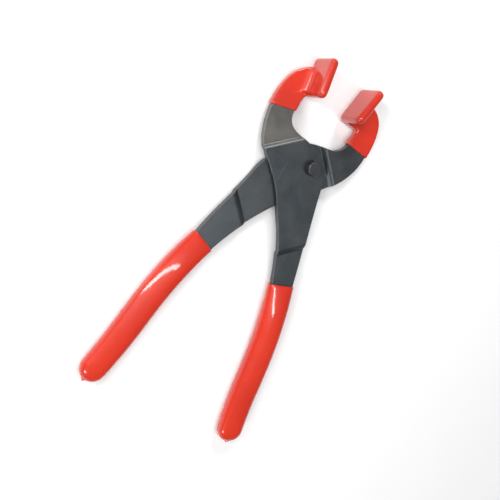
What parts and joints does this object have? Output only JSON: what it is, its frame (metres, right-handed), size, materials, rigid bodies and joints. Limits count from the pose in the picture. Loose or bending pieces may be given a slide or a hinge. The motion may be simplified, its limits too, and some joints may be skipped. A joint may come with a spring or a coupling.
{
  "type": "padded-jaw gripping pliers",
  "caption": "Long-handled steel pliers with upright padded paddle jaws and red dipped grips, opened wide, riveted pivot with a tall stub head.",
  "frame": {"origin": "on the pivot axis at the upper lever's near face, where the rivet's head stands", "axes": "+Y towards the jaws, +Z along the pivot away from the levers, +X to the side of the right jaw"},
  "size_m": [0.1052, 0.2135, 0.0251],
  "materials": {
    "lever_steel": "dark heat-treated plate, satin, lighter on worn edges",
    "rivet_steel": "dark, satin",
    "plate_steel": "plain, hidden inside the coat",
    "jaw_coat": "soft dipped vinyl, satin gloss",
    "grip_coat": "soft dipped vinyl, glossy"
  },
  "bodies": {
    "fixed_half": {"lower_lever": "lever_steel", "pivot_rivet": "rivet_steel", "right_paddle": "plate_steel", "right_paddle_weld": "plate_steel", "right_jaw_dip": "jaw_coat", "left_grip": "grip_coat"},
    "moving_half": {"upper_lever": "lever_steel", "left_paddle": "plate_steel", "left_paddle_weld": "plate_steel", "left_jaw_dip": "jaw_coat", "right_grip": "grip_coat"}
  },
  "joints": [
    {"name": "pivot", "type": "hinge", "parent": "fixed_half", "child": "moving_half", "pos_m": [0, 0, 0], "axis": [0, 0, 1], "range_deg": [-26, 10]}
  ]
}
